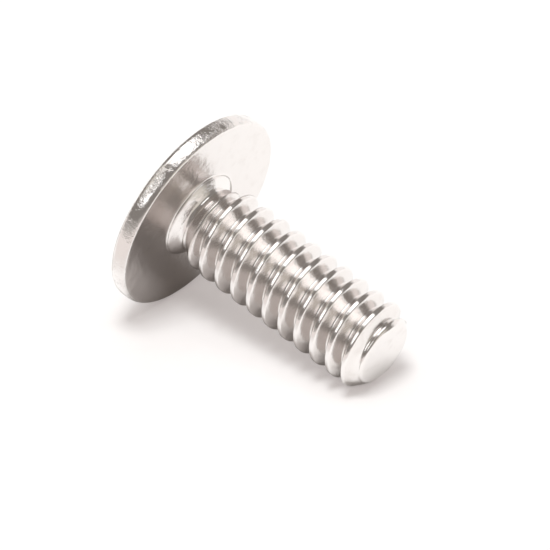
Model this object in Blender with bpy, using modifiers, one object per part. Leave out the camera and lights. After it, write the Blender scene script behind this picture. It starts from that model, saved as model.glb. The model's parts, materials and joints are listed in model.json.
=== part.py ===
"""Truss head machine screw, No. 10-24 by 1/2 inch, with a cross recess.

The screw is modelled standing on its own axis: the flat underside of the head is at z = 0, the dome
is above it and the shank runs down from it. It is then laid on its side, as a dropped screw lies,
resting on the rim of its head and on the last full crest of its thread, with the tip toward +X and
the middle of the footprint at the origin.
"""

import math

import bmesh
import bpy
import numpy as np
from mathutils import Matrix

MM = 0.001
NAME = "truss_head_screw"

# Head
HEAD_DIAMETER = 10.92 * MM
HEAD_HEIGHT = 2.32 * MM
RIM_HEIGHT = 0.62 * MM
RIM_ROUND = 0.35 * MM
UNDERSIDE_INSET = 0.16 * MM
UNDERSIDE_EDGE = 0.36 * MM

# Collar and bare neck between the head and the thread
COLLAR_DIAMETER = 4.64 * MM
COLLAR_LENGTH = 0.12 * MM
COLLAR_FILLET = 0.11 * MM
COLLAR_SHOULDER = math.radians(52)
NECK_DIAMETER = 3.60 * MM

# Thread, right-handed, unified form, 24 turns to the inch
THREAD_DIAMETER = 4.75 * MM
THREAD_PITCH = 1.0583 * MM
FLANK_ANGLE = math.radians(30)
CREST_TRUNCATION = 1 / 8
ROOT_TRUNCATION = 1 / 6
CREST_EASE = 0.045 * MM
ROOT_EASE = 0.045 * MM
RUN_OUT_START = 0.83 * MM
RUN_OUT_LENGTH = 0.73 * MM
# On the upper side of the lying screw the first crest is this far below the head.
FIRST_CREST = 0.957 * MM

# Point
SCREW_LENGTH = 12.50 * MM
POINT_DIAMETER = 3.36 * MM
POINT_CHAMFER = math.radians(45)

# Cross recess
RECESS_DIAMETER = 4.90 * MM
RECESS_DEPTH = 1.95 * MM
RECESS_WING = 0.92 * MM
RECESS_DRAFT = math.radians(13.25)
RECESS_WING_DRAFT = math.radians(3)
RECESS_HEART = 2.30 * MM
RECESS_POINT = math.radians(28)

# Fineness
HEAD_STEPS = 48
THREAD_STEPS = 40
RECESS_STEPS = 24
DOME_STEPS = 9
RIM_STEPS = 6
FILLET_STEPS = 4
# How far one shape reaches into, or past, another that it joins or cuts.
OVERLAP = 0.25 * MM
OVERSHOOT = 1.0 * MM
WELD = 1e-6

STEEL_COLOUR = (0.78, 0.77, 0.75, 1.0)
STEEL_ROUGHNESS = 0.22


def thread_depth():
    """The sharp 60 degree form less what is missing at its crest and its root."""
    sharp = THREAD_PITCH / 2 / math.tan(FLANK_ANGLE)
    return (1 - CREST_TRUNCATION - ROOT_TRUNCATION) * sharp


def core_radius():
    return THREAD_DIAMETER / 2 - thread_depth()


def arc(centre, radius, start, end, steps):
    """Points on a circle in the X-Z plane, angles measured from +X toward +Z."""
    turns = [start + (end - start) * i / steps for i in range(steps + 1)]
    return [(centre[0] + radius * math.cos(a), centre[1] + radius * math.sin(a)) for a in turns]


def clear_scene():
    for item in list(bpy.data.objects):
        bpy.data.objects.remove(item, do_unlink=True)


def new_collection(name):
    collection = bpy.data.collections.new(name)
    bpy.context.scene.collection.children.link(collection)
    return collection


def add_object(name, mesh, collection, parent):
    item = bpy.data.objects.new(name, mesh)
    collection.objects.link(item)
    item.parent = parent
    return item


def as_cutter(item):
    item.hide_render = True
    item.display_type = "WIRE"
    return item


def screw_round(item, steps, turns=1, pitch=0.0):
    """Carries a profile round Z: once in a ring, or several times up a right-handed helix."""
    screw = item.modifiers.new("turn", "SCREW")
    screw.axis = "Z"
    screw.angle = 2 * math.pi
    screw.iterations = turns
    screw.screw_offset = pitch
    screw.steps = steps
    screw.render_steps = steps
    screw.use_merge_vertices = pitch == 0
    screw.merge_threshold = WELD


def profile_mesh(name, profile, turn=0.0):
    """A line of (radius, height) points, in the half plane at angle turn round Z."""
    mesh = bpy.data.meshes.new(name)
    edges = [(i, i + 1) for i in range(len(profile) - 1)]
    mesh.from_pydata([(r * math.cos(turn), r * math.sin(turn), z) for r, z in profile], edges, [])
    return mesh


def turned(name, profile, steps, collection, parent, offset=0.5):
    """A turned solid from its profile, top to bottom. Its facets are offset by that share of a step."""
    mesh = profile_mesh(name, profile, offset * 2 * math.pi / steps)
    item = add_object(name, mesh, collection, parent)
    screw_round(item, steps)
    return item


def head_profile():
    """Dome, rim, flat underside, fillet and collar, down to where the head is rooted in the shank."""
    rim = HEAD_DIAMETER / 2
    round_radius = rim - RIM_ROUND
    # The dome runs over the axis at full height and touches the round of the rim from outside.
    climb = HEAD_HEIGHT - RIM_HEIGHT
    dome_radius = (round_radius**2 + climb**2 - RIM_ROUND**2) / 2 / (climb - RIM_ROUND)
    dome_centre = HEAD_HEIGHT - dome_radius
    touch = math.atan2(RIM_HEIGHT - dome_centre, round_radius)
    dome = arc((0, dome_centre), dome_radius, math.pi / 2, touch, DOME_STEPS)
    dome[0] = (0.0, HEAD_HEIGHT)
    rim_top = arc((round_radius, RIM_HEIGHT), RIM_ROUND, touch, 0.0, RIM_STEPS)[1:]
    edge_turns = [math.pi / 2 * i / FILLET_STEPS for i in range(FILLET_STEPS + 1)]
    edge = [
        (rim - UNDERSIDE_INSET * (1 - math.cos(a)), UNDERSIDE_EDGE * (1 - math.sin(a))) for a in edge_turns
    ]
    collar = COLLAR_DIAMETER / 2
    fillet_centre = (collar + COLLAR_FILLET, -COLLAR_FILLET)
    fillet = arc(fillet_centre, COLLAR_FILLET, math.pi / 2, math.pi, FILLET_STEPS)
    root = NECK_DIAMETER / 2 - OVERLAP
    shoulder = (collar - root) / math.tan(COLLAR_SHOULDER)
    neck = [
        (collar, -COLLAR_LENGTH),
        (root, -COLLAR_LENGTH - shoulder),
        (0.0, -COLLAR_LENGTH - shoulder),
    ]
    return dome + rim_top + edge + fillet + neck


def thread_profile():
    """One pitch of the thread as (radius, height) points: root, flank, crest, flank and root again."""
    major, core = THREAD_DIAMETER / 2, core_radius()

    def half_width(radius):
        return THREAD_PITCH * CREST_TRUNCATION / 2 + (major - radius) * math.tan(FLANK_ANGLE)

    foot = half_width(core + ROOT_EASE)
    side = [
        (core, foot + ROOT_EASE),
        (core + ROOT_EASE, foot),
        (major - CREST_EASE, half_width(major - CREST_EASE)),
        (major, half_width(major) - CREST_EASE),
    ]
    tooth = [(r, -h) for r, h in side] + list(reversed(side))
    return tooth + [(core, THREAD_PITCH - foot - ROOT_EASE)]


def threaded_rod(collection, parent):
    """The thread carried along its helix, welded turn to turn and closed at both ends.

    It starts more than a pitch past the point and ends above the neck, so both ends are cut away.
    """
    turns = math.ceil(SCREW_LENGTH / THREAD_PITCH) + 3
    lowest = 2 * THREAD_PITCH - FIRST_CREST - turns * THREAD_PITCH
    outline = profile_mesh("thread_profile", [(r, lowest + h) for r, h in thread_profile()])
    sweep = add_object("thread_sweep", outline, collection, None)
    screw_round(sweep, THREAD_STEPS, turns, THREAD_PITCH)
    mesh = bpy.data.meshes.new_from_object(sweep.evaluated_get(bpy.context.evaluated_depsgraph_get()))
    bpy.data.objects.remove(sweep, do_unlink=True)
    mesh.name = "threaded_rod"
    shape = bmesh.new()
    shape.from_mesh(mesh)
    bmesh.ops.remove_doubles(shape, verts=shape.verts, dist=WELD)
    open_edges = [edge for edge in shape.edges if edge.is_boundary]
    ends = bmesh.ops.holes_fill(shape, edges=open_edges, sides=0)["faces"]
    bmesh.ops.poke(shape, faces=ends)
    bmesh.ops.recalc_face_normals(shape, faces=shape.faces)
    shape.to_mesh(mesh)
    shape.free()
    return as_cutter(add_object("threaded_rod", mesh, collection, parent))


def shank_limit(collection, parent):
    """What the thread is cut back to: a bare neck, a run-out cone below it, and the chamfered point."""
    neck, wide = NECK_DIAMETER / 2, THREAD_DIAMETER / 2 + OVERLAP
    point = POINT_DIAMETER / 2
    run_out = (wide - neck) / (THREAD_DIAMETER / 2 - neck) * RUN_OUT_LENGTH
    chamfer = (wide - point) / math.tan(POINT_CHAMFER)
    profile = [
        (0.0, -COLLAR_LENGTH / 2),
        (neck, -COLLAR_LENGTH / 2),
        (neck, -RUN_OUT_START),
        (wide, -RUN_OUT_START - run_out),
        (wide, -SCREW_LENGTH + chamfer),
        (point, -SCREW_LENGTH),
        (0.0, -SCREW_LENGTH),
    ]
    return as_cutter(turned("shank_limit", profile, THREAD_STEPS, collection, parent, 0.25))


def recess_wing(name, quarter, collection, parent):
    """Two opposite wings of the recess: a bar that narrows downward on all four sides."""
    shape = bmesh.new()
    top = HEAD_HEIGHT + OVERSHOOT
    bottom = HEAD_HEIGHT - RECESS_DEPTH
    bmesh.ops.create_cube(shape, size=1.0)
    for vertex in shape.verts:
        height = top if vertex.co.z > 0 else bottom
        above = height - HEAD_HEIGHT
        half_length = RECESS_DIAMETER / 2 + above * math.tan(RECESS_DRAFT)
        half_width = RECESS_WING / 2 + above * math.tan(RECESS_WING_DRAFT)
        vertex.co.x = math.copysign(half_length, vertex.co.x)
        vertex.co.y = math.copysign(half_width, vertex.co.y)
        vertex.co.z = height
    bmesh.ops.rotate(shape, verts=shape.verts, matrix=Matrix.Rotation(quarter * math.pi / 2, 3, "Z"))
    mesh = bpy.data.meshes.new(name)
    shape.to_mesh(mesh)
    shape.free()
    return as_cutter(add_object(name, mesh, collection, parent))


def recess_heart(collection, parent):
    """The middle of the recess: a drafted hole that opens the inner corners of the wings and ends in a cone."""
    above = OVERSHOOT
    draft = math.tan(RECESS_DRAFT)
    top_radius = RECESS_HEART / 2 + above * draft
    floor_radius = RECESS_HEART / 2 - RECESS_DEPTH * draft
    floor = HEAD_HEIGHT - RECESS_DEPTH
    profile = [
        (0.0, HEAD_HEIGHT + above),
        (top_radius, HEAD_HEIGHT + above),
        (floor_radius, floor),
        (0.0, floor - floor_radius * math.tan(RECESS_POINT)),
    ]
    return as_cutter(turned("recess_heart", profile, RECESS_STEPS, collection, parent))


def boolean(item, other, operation, solver="EXACT"):
    modifier = item.modifiers.new(other.name, "BOOLEAN")
    modifier.operation = operation
    modifier.object = other
    modifier.solver = solver


def steel():
    material = bpy.data.materials.new("bright_steel")
    material.use_nodes = True
    shader = material.node_tree.nodes["Principled BSDF"]
    shader.inputs["Base Color"].default_value = STEEL_COLOUR
    shader.inputs["Metallic"].default_value = 1.0
    shader.inputs["Roughness"].default_value = STEEL_ROUGHNESS
    return material


def finished_points(item):
    """The corners of the finished solid, in its own frame."""
    bpy.context.view_layer.update()
    mesh = item.evaluated_get(bpy.context.evaluated_depsgraph_get()).to_mesh()
    points = np.empty(len(mesh.vertices) * 3)
    mesh.vertices.foreach_get("co", points)
    item.evaluated_get(bpy.context.evaluated_depsgraph_get()).to_mesh_clear()
    return points.reshape(-1, 3)


def resting_lean(points):
    """The angle between the axis and the floor when the screw lies on its -X side.

    Seen from the side, the floor line touches the head and the shank and passes above no corner, so
    it is the line from a corner of the head to one of the shank that leans least for its head corner,
    and most of all such lines.
    """
    head = points[points[:, 2] > -COLLAR_LENGTH]
    shank = points[points[:, 2] < -COLLAR_LENGTH]
    drop = -head[:, None, 0] + shank[None, :, 0]
    run = head[:, None, 2] - shank[None, :, 2]
    return float(np.arctan2(drop, run).min(axis=1).max())


def lay_down(screw_axis, points):
    """Turns the axis until the screw rests on the floor, tip toward +X, and centres its footprint."""
    lean = resting_lean(points)
    turn = Matrix.Rotation(lean - math.pi / 2, 4, "Y")
    laid = points @ np.array(turn.to_3x3()).T
    low, high = laid.min(axis=0), laid.max(axis=0)
    screw_axis.rotation_euler = turn.to_euler()
    screw_axis.location = (-(low[0] + high[0]) / 2, -(low[1] + high[1]) / 2, -low[2])


def build_screw():
    parts, cutters = new_collection(NAME), new_collection("cutters")
    screw_axis = add_object("screw_axis", None, parts, None)
    screw = turned(NAME, head_profile(), HEAD_STEPS, parts, screw_axis)
    shank = threaded_rod(cutters, screw_axis)
    boolean(shank, shank_limit(cutters, screw_axis), "INTERSECT")
    # The exact solver leaves nothing of this union at some collar diameters.
    boolean(screw, shank, "UNION", "MANIFOLD")
    for quarter in range(2):
        boolean(screw, recess_wing(f"recess_wings_{quarter}", quarter, cutters, screw_axis), "DIFFERENCE")
    boolean(screw, recess_heart(cutters, screw_axis), "DIFFERENCE")
    screw.data.materials.append(steel())
    lay_down(screw_axis, finished_points(screw))


clear_scene()
build_screw()
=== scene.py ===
"""Truss head machine screw lying on a white table: its finished surface, its metal and a photo studio."""

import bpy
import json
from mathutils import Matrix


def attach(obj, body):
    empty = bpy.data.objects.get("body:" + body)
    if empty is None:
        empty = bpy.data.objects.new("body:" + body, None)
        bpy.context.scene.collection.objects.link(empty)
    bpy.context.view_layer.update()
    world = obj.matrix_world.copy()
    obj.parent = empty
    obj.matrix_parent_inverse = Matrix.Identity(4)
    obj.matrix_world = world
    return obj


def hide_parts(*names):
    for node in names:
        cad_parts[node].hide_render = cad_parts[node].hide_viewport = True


bl_info = {
    "name": "Truss Head Screw",
    "version": (1, 0, 0),
    "blender": (4, 5, 0),
    "location": "3D View > Sidebar > Screw",
    "description": "Builds a truss head machine screw, its bright metal and the studio that it lies in",
    "category": "Add Mesh",
}

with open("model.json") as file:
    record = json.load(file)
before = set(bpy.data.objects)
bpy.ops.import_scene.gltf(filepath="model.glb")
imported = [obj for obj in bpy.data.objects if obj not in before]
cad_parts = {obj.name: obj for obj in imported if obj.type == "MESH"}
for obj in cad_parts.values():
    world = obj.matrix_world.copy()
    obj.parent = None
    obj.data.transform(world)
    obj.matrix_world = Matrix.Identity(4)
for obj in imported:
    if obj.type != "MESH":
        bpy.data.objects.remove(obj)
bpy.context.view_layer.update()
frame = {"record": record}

import json
import math

import bmesh
import bpy
import numpy as np
from bpy.props import FloatProperty, FloatVectorProperty, PointerProperty
from mathutils import Matrix, Vector

MM = 0.001
NODE = "truss_head_screw"
SLOT = "bright_steel"
FACE = next(mount for mount in frame["record"]["mounts"] if mount["name"] == "bearing_face")

# Fineness of the surface: columns round the screw, and rows of each stretch of it
COLUMNS = 200
ROWS = {
    "recess floor": 12,
    "recess foot": 4,
    "recess wall": 9,
    "recess lip": 6,
    "dome": 30,
    "rim round": 8,
    "rim": 4,
    "rim edge": 10,
    "underside": 22,
    "collar fillet": 8,
    "collar edge": 5,
    "collar taper": 6,
    "neck": 7,
    "crest round": 5,
    "flank": 3,
    "root round": 4,
    "end face": 9,
}

# Stretches over which two forms of the surface run into one another
WING_CORNER = 0.16 * MM
HEART_CORNER = 0.14 * MM
CONE_EDGE = 0.10 * MM
COLLAR_EDGE = 0.04 * MM
RUN_OUT_BLEND = 0.10 * MM
THREAD_BLEND = 0.08 * MM
NECK_RISE = 0.15 * MM

# Rounds in which the depth of the recess's lip settles
LIP_ROUNDS = 8

# The dome's columns become evenly spaced this many times sooner than they reach the rim
EVEN_SOONER = 1.6

# How far the rows run on past the end face, where the chamfer's cone is pressed flat into it
PAST_END = 0.30 * MM

# Where the finishes and the painted shade of the metal begin and end, in millimetres: inward of the rim
# and of the crests, out from the axis, or as a low end, a high end and a soft edge along the axis
RIM_FADE = (0.22, 0.08)
UNDERSIDE_FADE = (2.3, 2.6)
UNDERSIDE_BAND = (-0.08, 0.04, 0.05)
FLANK_FADE = (0.12, 0.04)
FLANK_BAND = (-12.0, -1.1, 0.3)

# The noise of the lines is squeezed along the axis so that its streaks lie round the thread
LINE_STRETCH = (0.7, 0.7, 16.0)

# Middle value of a noise, and the values between which patches, beaten places, specks and fibres show
NOISE_MIDDLE = 0.5
PATCH_FADE = (0.50, 0.72)
BEATEN_FADE = (0.42, 0.60)
SPECK_FADE = (0.45, 0.75)
FIBRE_FADE = (0.3, 0.8)

# Where the metal mirrors a table dimmed by painted shade, in millimetres: its front, and a strip under the
# screw
FRONT_SHADE_FADE = (-5, -12)
UNDER_SHADE_BAND = (-2, 1, 2)
UNDER_SHADE_END = (6.0, 3.5)

# Painted shade from a table mirrored once to one mirrored twice, as the number of times that the ray was
# mirrored
TWICE_SHADE_FADE = (1.4, 1.6)

# Brightness of the paper's darker fibres, as a share of the paper's
FIBRE_SHARE = 0.985

# Round patches of light in the room: toward where, half angle and soft edge in degrees
LEFT_WALL = ((-0.53, -0.47, 0.70), 12, 13)
RIGHT_WALL = ((0.96, 0.0, 0.15), 16, 20)
SWEEP = ((-0.35, 0.93, -0.10), 12, 6)
LEFT_WALL_SHARE = 0.9

# The strip light, along the screw's axis and across it: toward where, and its band in that direction
STRIP_ALONG = ((0.967, 0.0, -0.254), (-0.47, -0.19, 0.03))
STRIP_ACROSS = ((0.202, 0.582, 0.788), (-0.24, 0.22, 0.04))
STRIP_SIDE = (0.1, -0.1)

# The light overhead, the back wall and the floor in front, as bands and steps of a direction's numbers
TOP_ACROSS = (-0.52, 0.38, 0.08)
TOP_BESIDE = (-0.25, 0.30, 0.05)
TOP_UP = (0.0, 0.1)
BACK_BESIDE = (0.70, 0.84)
BACK_UP = (0.46, 0.60)
FRONT_BESIDE = (-0.25, -0.45)
FRONT_UP = (0.10, 0.0)

# The lamp over the table stands a little in front of the screw
KEY_TOWARD = (0.12, -0.27, 1.0)

# The camera's sensor in its own millimetres, and how near it sees
SENSOR_WIDTH = 36
NEAR_CLIP = 0.001

WHITE = (1, 1, 1, 1)


# Settings

def length(name, description, millimetres):
    metres = millimetres * MM
    return FloatProperty(name=name, description=description, default=metres, unit="LENGTH", precision=6)


def angle(name, description, degrees):
    return FloatProperty(name=name, description=description, default=math.radians(degrees), unit="ROTATION")


def colour(name, description, red, green, blue):
    rgb = (red, green, blue)
    return FloatVectorProperty(
        name=name, description=description, default=rgb, size=3, subtype="COLOR", min=0.0, max=1.0
    )


def level(name, description, value):
    return FloatProperty(name=name, description=description, default=value, min=0.0, precision=4)


class ScrewSizes(bpy.types.PropertyGroup):
    head_diameter: length("Head diameter", "Across the rim", 10.885)
    head_height: length("Head height", "From the underside to the top of the dome", 2.31)
    rim_height: length("Rim height", "From the underside to the round between rim and dome", 0.62)
    rim_round: length("Rim round", "Radius between the rim and the dome", 0.35)
    underside_inset: length("Underside inset", "How far inside the rim the flat underside ends", 0.16)
    underside_edge: length("Underside edge", "How high the edge below the rim curves up", 0.36)
    collar_diameter: length("Collar diameter", "Widest part of the flared collar under the head", 4.64)
    collar_length: length("Collar length", "From the underside to where the collar begins to taper", 0.12)
    collar_fillet: length("Collar fillet", "Radius between the underside and the collar", 0.11)
    collar_shoulder: angle("Collar shoulder", "Slope of the collar's taper", 52)
    neck_diameter: length("Neck diameter", "Bare neck between the collar and the thread", 3.60)
    neck_blend: length("Neck blend", "Over which the taper curves into the neck", 0.10)
    thread_diameter: length("Thread diameter", "Over the crests", 4.72)
    thread_pitch: length("Thread pitch", "From crest to crest", 25.4 / 24)
    flank_angle: angle("Flank angle", "Half the angle between two flanks", 30)
    crest_flat: length("Crest flat", "Width of the flat part of the crest", 0.12)
    crest_round: length("Crest round", "Radius between the crest and its flanks", 0.09)
    root_flat: length("Root flat", "Width of the flat part of the root", 0.05)
    root_round: length("Root round", "Radius between the root and its flanks", 0.06)
    run_out_start: length("Run-out start", "From the underside to where the thread begins to rise", 0.83)
    run_out_length: length("Run-out length", "Over which the thread rises to its full height", 0.73)
    first_crest: length("First crest", "From the underside to the first crest on the upper side", 0.957)
    screw_length: length("Length", "From the underside to the end face", 12.50)
    point_diameter: length("Point diameter", "Across the end face", 3.36)
    point_round: length("Point round", "How far the chamfer is smoothed into the end face", 0.08)
    recess_diameter: length("Recess diameter", "Across two wings of the cross, at the top of the dome", 4.90)
    recess_depth: length("Recess depth", "From the top of the dome to the floor of the wings", 1.95)
    recess_wing: length("Wing width", "Width of each wing of the cross", 0.92)
    recess_draft: angle("Wing draft", "How the ends of the wings lean inward", 13.25)
    recess_wing_draft: angle("Wing side draft", "How the sides of the wings lean inward", 3)
    recess_heart: length("Heart diameter", "Round opening where the wings meet", 2.30)
    recess_point: angle("Heart point", "Slope of the cone at the bottom", 28)
    recess_lip: length("Recess lip", "How far the edge of the cross is rounded", 0.09)


class ScrewFinish(bpy.types.PropertyGroup):
    metal: colour("Metal", "Colour of the clean bright metal", 0.905, 0.87, 0.853)
    # Tarnish colours the cloudy patches at random, and darkens the underside and the thread's flanks and
    # roots as painted shade
    tarnish_and_shade: colour("Tarnish", "Colour of the metal where it is dull", 0.74, 0.69, 0.66)
    patch_dull: level("Patch dullness", "Share of tarnish in the cloudy patches", 0.35)
    underside_dull_and_shade: level("Underside dullness", "Share of tarnish under the head", 0.12)
    flank_dull_and_shade: level("Rolled dullness", "Share of tarnish on the thread's flanks", 0.25)
    gloss: level("Gloss roughness", "Roughness of the brightest metal", 0.10)
    satin: level("Satin roughness", "Roughness of the pressed underside", 0.20)
    rolled: level("Rolled roughness", "Roughness of the thread's flanks", 0.20)
    speck_rough: level("Speck roughness", "Roughness that the specks add", 0.05)
    grain_rough: level("Grain roughness", "Roughness that the fine grain adds", 0.05)
    dent_depth: level("Dent depth", "Depth of the hammered specks on the rim, in millimetres", 0.05)
    wave_depth: level("Wave depth", "Depth of the gentle waves all over, in millimetres", 0.02)
    underside_wave: level("Underside waves", "Depth that the waves gain under the head", 0.02)
    line_depth: level("Line depth", "Depth of the lines round the thread, in millimetres", 0.0022)
    grain_depth: level("Grain depth", "Depth of the fine grain, in millimetres", 0.0012)


class StudioSettings(bpy.types.PropertyGroup):
    azimuth: angle("Camera azimuth", "Round the screw, from a view along +Y", 40.62)
    elevation: angle("Camera elevation", "Above the table", 33.16)
    distance: length("Camera distance", "From the middle of the picture", 500)
    picture_width: length("Picture width", "What the picture takes in", 27.32)
    aim_right: length("Aim right", "Middle of the picture, right of the head's underside", 3.81)
    aim_down: length("Aim down", "Middle of the picture, below the head's underside", 3.04)
    table_size: length("Table size", "Side of the square table top", 4000)
    table_front: length("Table front", "From the screw to the front edge of the table", 36)
    paper: colour("Table", "Colour of the white table", 0.94, 0.94, 0.94)
    # Painted shade: darker table colours that only the metal's reflections show, the strip under the screw a
    # painted shadow
    mirrored_front_shade: colour("Mirrored front", "Table's front as the metal mirrors it", 0.74, 0.70, 0.685)
    mirrored_under_shade: colour("Mirrored shade", "Table under the screw as mirrored", 0.50, 0.475, 0.465)
    mirrored_twice_shade: colour("Mirrored twice", "Table that is mirrored twice", 0.49, 0.465, 0.455)
    lift: colour("Table lift colour", "Light that lifts the table to white in the camera", 1.0, 0.91, 0.89)
    paper_lift: level("Table lift", "Share of that light where the camera sees the table", 0.32)
    room: colour("Room", "Colour of the unlit room", 0.24, 0.222, 0.205)
    wall: colour("Walls", "Colour of the lit walls on the left and on the right", 0.68, 0.645, 0.585)
    front: colour("Front", "Colour of the floor in front of the table", 0.44, 0.42, 0.40)
    back: colour("Back wall", "Colour of the pale wall behind the table", 1.0, 0.97, 0.95)
    top_level: level("Top light level", "Brightness of the soft light overhead", 1.65)
    side_level: level("Side light level", "Brightness of the strip light", 1.5)
    key_level: level("Key light level", "Strength of the lamp that lights the table", 1.88)
    key_spread: angle("Key light spread", "How wide the lamp is, seen from the table", 20)


def sizes():
    return bpy.context.scene.screw_sizes


def finish():
    return bpy.context.scene.screw_finish


def studio():
    return bpy.context.scene.screw_studio


# Where the screw lies

def screw_place():
    """The matrix from the screw's own frame, dome up and underside at zero, to its place in the model."""
    axis = Vector(FACE["axis"])
    turn = math.atan2(-axis.x, -axis.z)
    centre = Vector((FACE["pos_m"][0], 0.0, FACE["pos_m"][2]))
    return Matrix.Translation(centre) @ Matrix.Rotation(turn, 4, "Y")


# Shape

def smooth_min(a, b, k):
    """The smaller of a and b, less a parabola up to k/4 deep where they are within k of each other."""
    h = np.clip(0.5 + 0.5 * (b - a) / k, 0.0, 1.0)
    return b * (1 - h) + a * h - k * h * (1 - h)


def smooth_max(a, b, k):
    """The larger of a and b, rounded in the same way."""
    return -smooth_min(-a, -b, k)


def ease(t):
    """A smooth step from 0 to 1, three times the square of t less twice its cube."""
    t = np.clip(t, 0.0, 1.0)
    return t * t * (3 - 2 * t)


def bend(start, corner, end, rows):
    """Rows of a curve that leaves start toward corner and arrives at end, with both ends.

    Each point is start, corner and end weighted by (1-t)^2, 2t(1-t) and t^2.
    """
    t = np.linspace(0, 1, rows)[:, None]
    return [(1 - t) ** 2 * a + 2 * t * (1 - t) * b + t**2 * c for a, b, c in zip(start, corner, end)]


def column_angles():
    """Evenly spaced angles once round the screw, the first and the last at one place."""
    return np.linspace(0, 2 * math.pi, COLUMNS + 1)


def crowded_angles():
    """Column angles that crowd where the sides of the four wings run, 8 to 24 degrees off each wing's line.

    Each eighth of the turn runs from a wing's line to halfway to the next one, or back. The weights are
    the shares of its columns that lie before each mark.
    """
    eighths, eighth_degrees = 8, 45
    marks = np.array([0, 8, 24, eighth_degrees])
    weight = np.array([0, 8, 40, 53])
    share = np.linspace(0, eighths, COLUMNS + 1)
    eighth = np.minimum(np.floor(share), eighths - 1)
    inside = share - eighth
    outward = eighth % 2 == 0
    mirrored = np.where(outward, inside, 1 - inside)
    off_wing = np.interp(mirrored * weight[-1], weight, marks)
    before, after = eighth * eighth_degrees, (eighth + 1) * eighth_degrees
    return np.radians(np.where(outward, before + off_wing, after - off_wing))


def recess_outline(angles, depth):
    """Radius of the cross at an angle and a depth: the near end and sides of a wing, or the round heart.

    A wing's end and side are straight, so their radius is a distance over the cosine or the sine of the
    angle off the wing's line. The sine is kept from zero, where the side is out of reach.
    """
    s = sizes()
    least_sine = 0.02
    off_wing = np.abs((angles + math.pi / 4) % (math.pi / 2) - math.pi / 4)
    wing_end = s.recess_diameter / 2 - depth * math.tan(s.recess_draft)
    wing_side = s.recess_wing / 2 - depth * math.tan(s.recess_wing_draft)
    heart = s.recess_heart / 2 - depth * math.tan(s.recess_draft)
    end = wing_end / np.cos(off_wing)
    side = wing_side / np.maximum(np.sin(off_wing), least_sine)
    return smooth_max(smooth_min(end, side, WING_CORNER), heart + 0 * off_wing, HEART_CORNER)


def dome_form():
    """Radius of the dome, height of its centre, and the angle at which it touches the round of the rim.

    The dome is a circle with its centre on the axis, through the head's top and tangent to the round.
    """
    s = sizes()
    round_radius = s.head_diameter / 2 - s.rim_round
    climb = s.head_height - s.rim_height
    radius = (round_radius**2 + climb**2 - s.rim_round**2) / 2 / (climb - s.rim_round)
    centre = s.head_height - radius
    return radius, centre, math.atan2(s.rim_height - centre, round_radius)


def dome_height(radius):
    """Height of the dome's circle at a distance from the axis."""
    dome, centre, _ = dome_form()
    return centre + np.sqrt(dome**2 - radius**2)


def recess_and_dome():
    """Rows of (angle, radius, height) from the middle of the recess, up its walls and over the dome.

    The floor is a share of the outline at full depth, with a cone in the heart. The walls follow the
    outline as the depth falls. The lip is where the outline's height meets the dome's.
    """
    s = sizes()
    angles = crowded_angles()[None, :]
    floor_edge = recess_outline(angles, s.recess_depth)
    heart = s.recess_heart / 2 - s.recess_depth * math.tan(s.recess_draft)

    def floor_height(radius):
        cone = smooth_max(heart - radius, 0 * radius, CONE_EDGE) * math.tan(s.recess_point)
        return s.head_height - s.recess_depth - cone

    share = np.linspace(0, 1, ROWS["recess floor"])[:, None]
    inset = s.recess_lip
    floor = share * (floor_edge - inset)
    rows = [(angles + 0 * floor, floor, floor_height(floor))]
    lip_depth = 0 * floor_edge
    for _ in range(LIP_ROUNDS):
        lip_depth = s.head_height - dome_height(recess_outline(angles, lip_depth))
    wall_foot = s.recess_depth - inset
    foot = bend(
        (floor_edge - inset, floor_height(floor_edge - inset)),
        (floor_edge, floor_height(floor_edge)),
        (recess_outline(angles, wall_foot), s.head_height - wall_foot + 0 * angles),
        ROWS["recess foot"],
    )
    rows.append((angles + 0 * foot[0][1:], foot[0][1:], foot[1][1:]))
    wall_top = lip_depth + inset
    depth = wall_foot + (wall_top - wall_foot) * np.linspace(0, 1, ROWS["recess wall"])[1:, None]
    rows.append((angles + 0 * depth, recess_outline(angles, depth), s.head_height - depth))
    edge = recess_outline(angles, lip_depth)
    outside = edge + inset
    lip = bend(
        (recess_outline(angles, wall_top), s.head_height - wall_top),
        (edge, s.head_height - lip_depth),
        (outside, dome_height(outside)),
        ROWS["recess lip"],
    )
    rows.append((angles + 0 * lip[0][1:], lip[0][1:], lip[1][1:]))
    dome, _, touch = dome_form()
    share = np.linspace(0, 1, ROWS["dome"])[1:, None]
    last = dome * math.cos(touch)
    radius = outside + (last - outside) * share
    even = column_angles()[None, :]
    rows.append((angles + (even - angles) * ease(share * EVEN_SOONER), radius, dome_height(radius)))
    return [np.concatenate([row[k] for row in rows]) for k in range(3)]


def arc(centre, radii, start, end, rows):
    """(radius, height) rows of an arc about centre, from start to end degrees, without its first point.

    A point is the centre plus one radius times the cosine and the other times the sine of its angle.
    """
    turn = np.radians(np.linspace(start, end, rows + 1)[1:])
    return np.stack([centre[0] + radii[0] * np.cos(turn), centre[1] + radii[1] * np.sin(turn)], axis=1)


def line(start, end, rows):
    """(radius, height) rows evenly spaced from start to end, without start."""
    share = np.linspace(0, 1, rows + 1)[1:, None]
    return np.array(start) + (np.array(end) - np.array(start)) * share


def round_corner(start, point, end, rows):
    """(radius, height) rows of a bend at a point, without its first one."""
    return np.array([bend(start, point, end, rows)[k][1:, 0] for k in range(2)]).T


def neck_start():
    """From the underside to where the taper of the collar meets the neck."""
    s = sizes()
    return s.collar_length + (s.collar_diameter - s.neck_diameter) / 2 / math.tan(s.collar_shoulder)


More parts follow.
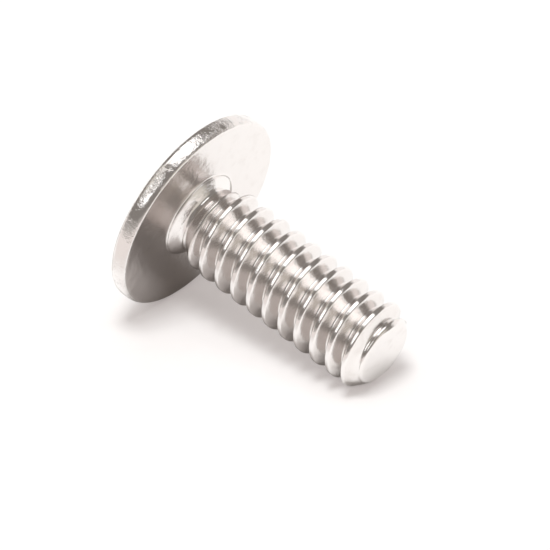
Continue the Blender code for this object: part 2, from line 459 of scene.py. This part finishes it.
def rim_to_neck():
    """(radius, height) rows of the turned outline, from where the dome ends to the start of the neck.

    An arc, the upright rim, a quarter of an ellipse, the flat underside, the collar's fillet, the
    collar's edge, its straight taper and a bend into the neck.
    """
    s = sizes()
    rim = s.head_diameter / 2
    _, _, touch = dome_form()
    collar, neck = s.collar_diameter / 2, s.neck_diameter / 2
    flat = rim - s.underside_inset
    fillet = s.collar_fillet
    slope = math.tan(s.collar_shoulder)
    rim_centre, rim_radii = (rim - s.rim_round, s.rim_height), (s.rim_round, s.rim_round)
    edge_centre, edge_radii = (flat, s.underside_edge), (s.underside_inset, s.underside_edge)
    above_edge = (collar, -s.collar_length + COLLAR_EDGE)
    below_edge = (collar - COLLAR_EDGE * slope, -s.collar_length - COLLAR_EDGE)
    above_neck = (neck + s.neck_blend * slope, -neck_start() + s.neck_blend)
    below_neck = (neck, -neck_start() - s.neck_blend)
    return np.concatenate(
        [
            arc(rim_centre, rim_radii, math.degrees(touch), 0, ROWS["rim round"]),
            line((rim, s.rim_height), (rim, s.underside_edge), ROWS["rim"]),
            arc(edge_centre, edge_radii, 0, -90, ROWS["rim edge"]),
            line((flat, 0), (collar + fillet, 0), ROWS["underside"]),
            arc((collar + fillet, -fillet), (fillet, fillet), 90, 180, ROWS["collar fillet"]),
            round_corner(above_edge, (collar, -s.collar_length), below_edge, ROWS["collar edge"]),
            line(below_edge, above_neck, ROWS["collar taper"]),
            round_corner(above_neck, (neck, -neck_start()), below_neck, ROWS["neck"]),
        ]
    )


def turned(outline):
    """Rows of (angle, radius, height): each (radius, height) row of an outline taken once round the axis."""
    angles = column_angles()[None, :]
    radius, height = outline[:, :1], outline[:, 1:]
    return angles + 0 * radius, radius + 0 * angles, height + 0 * angles


def thread_widths():
    """Distances from a crest's middle to the ends of its flat, its round, the flank and the root's round."""
    s = sizes()
    wide = math.cos(s.flank_angle)
    crest, root = s.crest_flat / 2, (s.thread_pitch - s.root_flat) / 2
    return crest, crest + s.crest_round * wide, root - s.root_round * wide, root


def thread_radius(off_crest):
    """Radius of the thread at a distance along the axis from the middle of a crest.

    A flat, an arc, a straight flank, an arc and a flat at the root, each tangent to the next. The depth
    of an arc is its radius times one less the sine of the flank angle.
    """
    s = sizes()
    lean, slope = math.sin(s.flank_angle), math.tan(s.flank_angle)
    crest, flank_top, flank_foot, root = thread_widths()
    top = s.thread_diameter / 2
    off = np.abs(off_crest)
    past = np.clip(off - crest, 0, s.crest_round)
    short = np.clip(root - off, 0, s.root_round)
    flank = top - s.crest_round * (1 - lean) - (off - flank_top) / slope
    floor = top - (s.crest_round + s.root_round) * (1 - lean) - (flank_foot - flank_top) / slope
    tooth = np.where(off < flank_top, top - s.crest_round + np.sqrt(s.crest_round**2 - past**2), flank)
    return np.where(off > flank_foot, floor + s.root_round - np.sqrt(s.root_round**2 - short**2), tooth)


def thread_rows():
    """Where the rows of one turn lie, as shares of the pitch from crest to crest, close at the rounds."""
    s = sizes()
    crest, flank_top, flank_foot, root = [width / s.thread_pitch for width in thread_widths()]
    half = np.concatenate(
        [
            [0.0],
            np.linspace(crest, flank_top, ROWS["crest round"]),
            np.linspace(flank_top, flank_foot, ROWS["flank"] + 1)[1:],
            np.linspace(flank_foot, root, ROWS["root round"])[1:],
            [0.5],
        ]
    )
    return np.concatenate([half, 1 - half[-2:0:-1]])


def shank():
    """Rows of (angle, radius, height) that climb with the thread from the neck to the end face.

    One step down the rows and one turn of columns both move along the screw, so that each row is a
    line of the thread. The place along the screw is held at both ends, where the rows run together.
    The radius is the thread's, cut back by a cone at the neck and by the chamfer's cone. The height is
    held at the end face, so that the last stretch of the chamfer's cone lies flat in it.
    """
    s = sizes()
    pitch = s.thread_pitch
    neck = s.neck_diameter / 2
    start = neck_start() + s.neck_blend
    stop = s.screw_length + PAST_END
    angles = column_angles()[None, :]
    first = math.floor((start - s.first_crest) / pitch)
    last = math.ceil((stop - s.first_crest) / pitch) + 1
    turns = (np.arange(first, last)[:, None] + thread_rows()[None, :]).reshape(-1, 1)
    turns = np.concatenate([turns, [[last]]])
    run = s.first_crest + pitch * (turns - angles / (2 * math.pi))
    along = np.clip(run, start, stop)
    off_crest = (turns * pitch + along - run + pitch / 2) % pitch - pitch / 2
    rise = (s.thread_diameter / 2 - neck) / s.run_out_length
    cone = neck + smooth_max((along - s.run_out_start) * rise, 0 * along, RUN_OUT_BLEND)
    point = s.point_diameter / 2 + (s.screw_length - along)
    radius = smooth_min(smooth_min(thread_radius(off_crest), cone, THREAD_BLEND), point, THREAD_BLEND)
    radius = neck + (radius - neck) * ease((along - start) / NECK_RISE)
    height = -smooth_min(along, s.screw_length + 0 * along, s.point_round)
    return angles + 0 * along, radius, height


def end_face(radius, height):
    """Rings of (angle, radius, height) from the end of the chamfer to the middle of the end face."""
    share = np.linspace(1, 0, ROWS["end face"])[1:, None]
    angles = column_angles()[None, :]
    return angles + 0 * share, radius * share + 0 * angles, height + 0 * share * angles


def joined(upper, lower):
    """One grid from two, the rows of the second after those of the first."""
    return [np.concatenate(pair) for pair in zip(upper, lower)]


def grid_faces(rows, columns, first):
    """Four corners of each cell of a grid of points, numbered row by row from first."""
    corner = first + np.arange(rows - 1)[:, None] * columns + np.arange(columns - 1)[None, :]
    return np.stack([corner, corner + columns, corner + columns + 1, corner + 1], axis=-1).reshape(-1, 4)


def make_piece(name, grids, place):
    """One closed mesh from grids of (angle, radius, height), put in their place and welded where they meet.

    A point's first two numbers are its radius times the cosine and the sine of its angle.
    """
    points, faces, count = [], [], 0
    for angles, radius, height in grids:
        cell = np.stack([radius * np.cos(angles), radius * np.sin(angles), height], axis=-1)
        points.append(cell.reshape(-1, 3))
        faces.append(grid_faces(cell.shape[0], cell.shape[1], count))
        count += cell.shape[0] * cell.shape[1]
    points = np.concatenate(points) @ np.array(place.to_3x3()).T + np.array(place.translation)
    faces = np.concatenate(faces)
    mesh = bpy.data.meshes.new(name)
    mesh.vertices.add(len(points))
    mesh.vertices.foreach_set("co", points.astype(np.float32).ravel())
    mesh.loops.add(faces.size)
    mesh.loops.foreach_set("vertex_index", faces.astype(np.int32).ravel())
    mesh.polygons.add(len(faces))
    mesh.polygons.foreach_set("loop_start", np.arange(len(faces), dtype=np.int32) * 4)
    mesh.update(calc_edges=True)
    same_point, same_edge = 1e-7, 1e-8
    shape = bmesh.new()
    shape.from_mesh(mesh)
    bmesh.ops.remove_doubles(shape, verts=shape.verts, dist=same_point)
    bmesh.ops.dissolve_degenerate(shape, edges=shape.edges, dist=same_edge)
    bmesh.ops.recalc_face_normals(shape, faces=shape.faces)
    shape.to_mesh(mesh)
    shape.free()
    mesh.shade_smooth()
    piece = bpy.data.objects.new(name, mesh)
    bpy.context.scene.collection.objects.link(piece)
    return piece


# Materials

class Value:
    """A shader socket that can be added, subtracted, multiplied and divided like a number."""

    def __init__(self, nodes, socket):
        self.nodes = nodes
        self.socket = socket

    def maths(self, operation, *values):
        return self.nodes.add("ShaderNodeMath", {"operation": operation}, dict(enumerate(values)))

    def __add__(self, other):
        return self.maths("ADD", self, other)

    def __radd__(self, other):
        return self.maths("ADD", other, self)

    def __sub__(self, other):
        return self.maths("SUBTRACT", self, other)

    def __rsub__(self, other):
        return self.maths("SUBTRACT", other, self)

    def __mul__(self, other):
        return self.maths("MULTIPLY", self, other)

    def __rmul__(self, other):
        return self.maths("MULTIPLY", other, self)

    def __truediv__(self, other):
        return self.maths("DIVIDE", self, other)

    def __rtruediv__(self, other):
        return self.maths("DIVIDE", other, self)

    def root(self):
        """The square root."""
        return self.maths("SQRT", self)

    def either(self, other):
        """The larger of two masks."""
        return self.maths("MAXIMUM", self, other)

    def step(self, low, high):
        """0 before low, 1 past high and a smooth climb between them; high may be the smaller number."""
        settings = {"interpolation_type": "SMOOTHSTEP"}
        limits = {"Value": self, "From Min": low, "From Max": high}
        return self.nodes.add("ShaderNodeMapRange", settings, limits)

    def band(self, low, high, soft):
        """1 between low and high, fading over soft outside them."""
        return self.step(low - soft, low) * (1 - self.step(high, high + soft))


class Nodes:
    """Adds nodes to a material or a world."""

    def __init__(self, owner):
        owner.use_nodes = True
        self.tree = owner.node_tree
        self.tree.nodes.clear()

    def add(self, kind, settings=None, inputs=None, output=0):
        """A node of that kind, its settings made first and then its sockets, by name or number."""
        node = self.tree.nodes.new(kind)
        for name, value in (settings or {}).items():
            setattr(node, name, value)
        for name, value in (inputs or {}).items():
            if isinstance(value, Value):
                self.tree.links.new(value.socket, node.inputs[name])
            else:
                node.inputs[name].default_value = value
        return Value(self, node.outputs[output] if node.outputs else None)

    def coordinates(self, kind):
        return self.add("ShaderNodeTexCoord", output=kind)

    def ray(self, kind):
        """What kind of ray looks at the surface, 1 or 0, or how often it was mirrored."""
        return self.add("ShaderNodeLightPath", output=kind)

    def mix(self, factor, first, second):
        """Two colours mixed; 6, 7 and 2 are the numbers of a Mix node's colour sockets."""
        return self.add("ShaderNodeMix", {"data_type": "RGBA"}, {0: factor, 6: first, 7: second}, 2)

    def mix_shaders(self, factor, first, second):
        return self.add("ShaderNodeMixShader", {}, {0: factor, 1: first, 2: second})

    def scaled(self, vector, factors):
        return self.add("ShaderNodeVectorMath", {"operation": "MULTIPLY"}, {0: vector, 1: factors})

    def facing(self, vector, toward):
        """How far a vector points toward another, their dot product."""
        settings = {"operation": "DOT_PRODUCT"}
        return self.add("ShaderNodeVectorMath", settings, {0: vector, 1: toward}, "Value")

    def noise(self, vector, scale, detail, roughness):
        inputs = {"Vector": vector, "Scale": scale, "Detail": detail, "Roughness": roughness}
        return self.add("ShaderNodeTexNoise", {}, inputs)

    def parts(self, vector):
        """The three numbers of a vector."""
        return [self.add("ShaderNodeSeparateXYZ", {}, {"Vector": vector}, axis) for axis in "XYZ"]


def solid(rgb):
    return (*rgb, 1.0)


def grey(brightness):
    return (brightness, brightness, brightness, 1.0)


def inward(radius, depths):
    """Places that lie inward of a radius."""
    return [radius - depth for depth in depths]


def bright_steel():
    """Bright headed and rolled metal.

    It is satin under the head and on the thread's flanks and roots, and darker there as painted shade, with
    hammered specks on the rim and fine lines round the thread.
    """
    material = bpy.data.materials.new(SLOT)
    nodes = Nodes(material)
    f, s = finish(), sizes()
    place = screw_place()
    where = {
        "Vector": nodes.coordinates("Object"),
        "Location": place.translation,
        "Rotation": place.to_euler(),
        "Scale": (MM, MM, MM),
    }
    local = nodes.add("ShaderNodeMapping", {"vector_type": "TEXTURE"}, where)
    across, beside, up = nodes.parts(local)
    reach = (across * across + beside * beside).root()
    rim = reach.step(*inward(s.head_diameter / 2 / MM, RIM_FADE))
    underside = up.band(*UNDERSIDE_BAND) * reach.step(*UNDERSIDE_FADE) * (1 - rim)
    rolled = (1 - reach.step(*inward(s.thread_diameter / 2 / MM, FLANK_FADE))) * up.band(*FLANK_BAND)
    mottle = nodes.noise(local, scale=1.6, detail=4.0, roughness=0.6)
    specks = nodes.noise(local, scale=7.0, detail=3.0, roughness=0.6)
    grain = nodes.noise(local, scale=38.0, detail=2.0, roughness=0.5)
    lines = nodes.noise(nodes.scaled(local, LINE_STRETCH), scale=2.2, detail=3.0, roughness=0.6)
    patches = mottle.step(*PATCH_FADE)
    beaten = rim * mottle.step(*BEATEN_FADE)
    rough_specks = specks.step(*SPECK_FADE)
    # Darker colour: tarnish in random cloudy patches, and painted shade under the head and on the thread's
    # flanks and roots
    dull_and_shade = patches * f.patch_dull + underside * f.underside_dull_and_shade + rolled * f.flank_dull_and_shade
    base = nodes.mix(dull_and_shade, solid(f.metal), solid(f.tarnish_and_shade))
    roughness = f.gloss + underside * (f.satin - f.gloss) + rolled * (f.rolled - f.gloss)
    roughness = roughness + rough_specks * f.speck_rough + (grain - NOISE_MIDDLE) * f.grain_rough
    dents = (specks - NOISE_MIDDLE) * beaten * f.dent_depth
    waves = (mottle - NOISE_MIDDLE) * (f.wave_depth + underside * f.underside_wave)
    relief = dents + waves + (lines - NOISE_MIDDLE) * f.line_depth + (grain - NOISE_MIDDLE) * f.grain_depth
    bump = nodes.add("ShaderNodeBump", {}, {"Strength": 1.0, "Distance": MM, "Height": relief})
    look = {"Base Color": base, "Metallic": 1.0, "Roughness": roughness, "Normal": bump}
    shader = nodes.add("ShaderNodeBsdfPrincipled", {}, look)
    nodes.add("ShaderNodeOutputMaterial", {}, {"Surface": shader})
    return material


def table_white():
    """White paper, lit and shadowed as paper is and lifted to white where the camera sees it.

    Painted shade: the metal mirrors it dimmer at its front, under the screw, and where it is mirrored twice.
    """
    material = bpy.data.materials.new("white_table")
    nodes = Nodes(material)
    t = studio()
    camera, mirrored = nodes.ray("Is Camera Ray"), nodes.ray("Is Glossy Ray")
    coordinates = nodes.coordinates("Object")
    fibres = nodes.noise(coordinates, scale=900.0, detail=3.0, roughness=0.6).step(*FIBRE_FADE)
    paper = nodes.mix(fibres, solid(t.paper), solid([part * FIBRE_SHARE for part in t.paper]))
    diffuse = nodes.add("ShaderNodeBsdfDiffuse", {}, {"Color": paper})
    white = nodes.add("ShaderNodeEmission", {}, {"Color": solid(t.lift), "Strength": 1.0})
    lifted = nodes.mix_shaders(camera * t.paper_lift, diffuse, white)
    across, along, _ = nodes.parts(coordinates)
    behind = (along + t.table_size / 2 - t.table_front) / MM
    front = behind.step(*FRONT_SHADE_FADE)
    under = behind.band(*UNDER_SHADE_BAND) * (across / MM).step(*UNDER_SHADE_END)
    twice = nodes.ray("Glossy Depth").step(*TWICE_SHADE_FADE)
    # Painted shade: the metal alone sees darker paper at the table's front, under the screw and where
    # mirrored twice
    mirrored_shade_colour = nodes.mix(front, solid(t.mirrored_under_shade), solid(t.mirrored_front_shade))
    mirrored_shade_colour = nodes.mix(twice, mirrored_shade_colour, solid(t.mirrored_twice_shade))
    dim = nodes.add("ShaderNodeBsdfDiffuse", {}, {"Color": mirrored_shade_colour})
    surface = nodes.mix_shaders(mirrored * front.either(under).either(twice), lifted, dim)
    nodes.add("ShaderNodeOutputMaterial", {}, {"Surface": surface})
    return material


def aimed(nodes, direction, toward, half_angle, soft):
    """1 within half_angle degrees of a direction and a soft fall to 0 past it."""
    facing = nodes.facing(direction, Vector(toward).normalized())
    return facing.step(math.cos(math.radians(half_angle + soft)), math.cos(math.radians(half_angle)))


def studio_light():
    """The room: dim walls, a wide soft light overhead and a strip light on the left of the camera.

    The camera itself, and what looks through glass, sees plain white in its place.
    """
    world = bpy.data.worlds.new("studio")
    nodes = Nodes(world)
    t = studio()
    direction = nodes.coordinates("Generated")
    seen = nodes.ray("Is Camera Ray").either(nodes.ray("Is Transmission Ray"))
    across, beside, up = nodes.parts(direction)
    left_wall = aimed(nodes, direction, *LEFT_WALL)
    right_wall = aimed(nodes, direction, *RIGHT_WALL)
    back_wall = beside.step(*BACK_BESIDE) * (1 - up.step(*BACK_UP))
    sweep = aimed(nodes, direction, *SWEEP)
    top = across.band(*TOP_ACROSS) * beside.band(*TOP_BESIDE) * up.step(*TOP_UP)
    strip = [nodes.facing(direction, toward).band(*limits) for toward, limits in (STRIP_ALONG, STRIP_ACROSS)]
    strip = strip[0] * strip[1] * beside.step(*STRIP_SIDE)
    front = beside.step(*FRONT_BESIDE) * up.step(*FRONT_UP)
    light = nodes.mix(front, solid(t.room), solid(t.front))
    light = nodes.mix(left_wall * LEFT_WALL_SHARE, light, solid(t.wall))
    light = nodes.mix(right_wall, light, solid(t.wall))
    light = nodes.mix(back_wall, light, solid(t.back))
    light = nodes.mix(sweep, light, WHITE)
    light = nodes.mix(top, light, grey(t.top_level))
    light = nodes.mix(strip, light, grey(t.side_level))
    light = nodes.mix(seen, light, WHITE)
    background = nodes.add("ShaderNodeBackground", {}, {"Color": light})
    nodes.add("ShaderNodeOutputWorld", {}, {"Surface": background})
    return world


# The lamp and the camera

def table_lamp():
    """A far lamp that lights the table and throws the shadow, and that the metal doesn't mirror."""
    t = studio()
    key = bpy.data.lights.new("key", "SUN")
    key.energy = t.key_level
    key.angle = t.key_spread
    lamp = bpy.data.objects.new("key", key)
    lamp.rotation_euler = Vector(KEY_TOWARD).to_track_quat("Z", "Y").to_euler()
    lamp.visible_glossy = False
    bpy.context.scene.collection.objects.link(lamp)


def photo_camera():
    """A distant camera that looks at the screw from the azimuth and the elevation of the settings."""
    t = studio()
    right = Vector((math.cos(t.azimuth), math.sin(t.azimuth), 0))
    level_back = Vector((math.sin(t.azimuth), -math.cos(t.azimuth), 0))
    back = level_back * math.cos(t.elevation) + Vector((0, 0, math.sin(t.elevation)))
    up = back.cross(right)
    aim = screw_place().translation + right * t.aim_right - up * t.aim_down
    lens = bpy.data.cameras.new("camera")
    lens.sensor_width = SENSOR_WIDTH
    lens.lens = lens.sensor_width * t.distance / t.picture_width
    lens.clip_start = NEAR_CLIP
    camera = bpy.data.objects.new("camera", lens)
    bpy.context.scene.collection.objects.link(camera)
    camera.location = aim + back * t.distance
    camera.rotation_euler = (-back).to_track_quat("-Z", "Y").to_euler()
    return camera


# Operators

class MESH_OT_truss_head_screw(bpy.types.Operator):
    """Build the screw's finished surface over the solid of the model"""

    bl_idname = "mesh.truss_head_screw"
    bl_label = "Truss Head Screw"

    def execute(self, context):
        head = joined(recess_and_dome(), turned(rim_to_neck()))
        thread = shank()
        last_row = [grid[-1:] for grid in thread]
        point = joined(last_row, end_face(last_row[1][:, :1], last_row[2][:, :1]))
        piece = make_piece("screw", [head, thread, point], screw_place())
        piece.data.materials.append(bright_steel())
        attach(piece, "root")
        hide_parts(NODE)
        return {"FINISHED"}


class SCENE_OT_screw_studio(bpy.types.Operator):
    """Build the table, the soft lights and the camera"""

    bl_idname = "scene.screw_studio"
    bl_label = "Screw Studio"

    def execute(self, context):
        t = studio()
        table_middle = (0, t.table_size / 2 - t.table_front, 0)
        bpy.ops.mesh.primitive_plane_add(size=t.table_size, location=table_middle)
        table = context.object
        table.name = "table"
        table.data.materials.append(table_white())
        context.scene.world = studio_light()
        table_lamp()
        context.scene.camera = photo_camera()
        context.scene.view_settings.view_transform = "Standard"
        return {"FINISHED"}


class VIEW3D_PT_truss_head_screw(bpy.types.Panel):
    """Sizes, finish and studio of the screw"""

    bl_idname = "VIEW3D_PT_truss_head_screw"
    bl_label = "Truss Head Screw"
    bl_space_type = "VIEW_3D"
    bl_region_type = "UI"
    bl_category = "Screw"

    def draw(self, context):
        for group in (sizes(), finish(), studio()):
            box = self.layout.box()
            for name in group.__annotations__:
                box.prop(group, name)
        self.layout.operator(MESH_OT_truss_head_screw.bl_idname)
        self.layout.operator(SCENE_OT_screw_studio.bl_idname)


CLASSES = (
    ScrewSizes,
    ScrewFinish,
    StudioSettings,
    MESH_OT_truss_head_screw,
    SCENE_OT_screw_studio,
    VIEW3D_PT_truss_head_screw,
)


def register():
    for item in CLASSES:
        bpy.utils.register_class(item)
    bpy.types.Scene.screw_sizes = PointerProperty(type=ScrewSizes)
    bpy.types.Scene.screw_finish = PointerProperty(type=ScrewFinish)
    bpy.types.Scene.screw_studio = PointerProperty(type=StudioSettings)


def unregister():
    del bpy.types.Scene.screw_studio
    del bpy.types.Scene.screw_finish
    del bpy.types.Scene.screw_sizes
    for item in reversed(CLASSES):
        bpy.utils.unregister_class(item)


def main():
    register()
    bpy.ops.mesh.truss_head_screw()
    bpy.ops.scene.screw_studio()


if __name__ == "__main__":
    main()
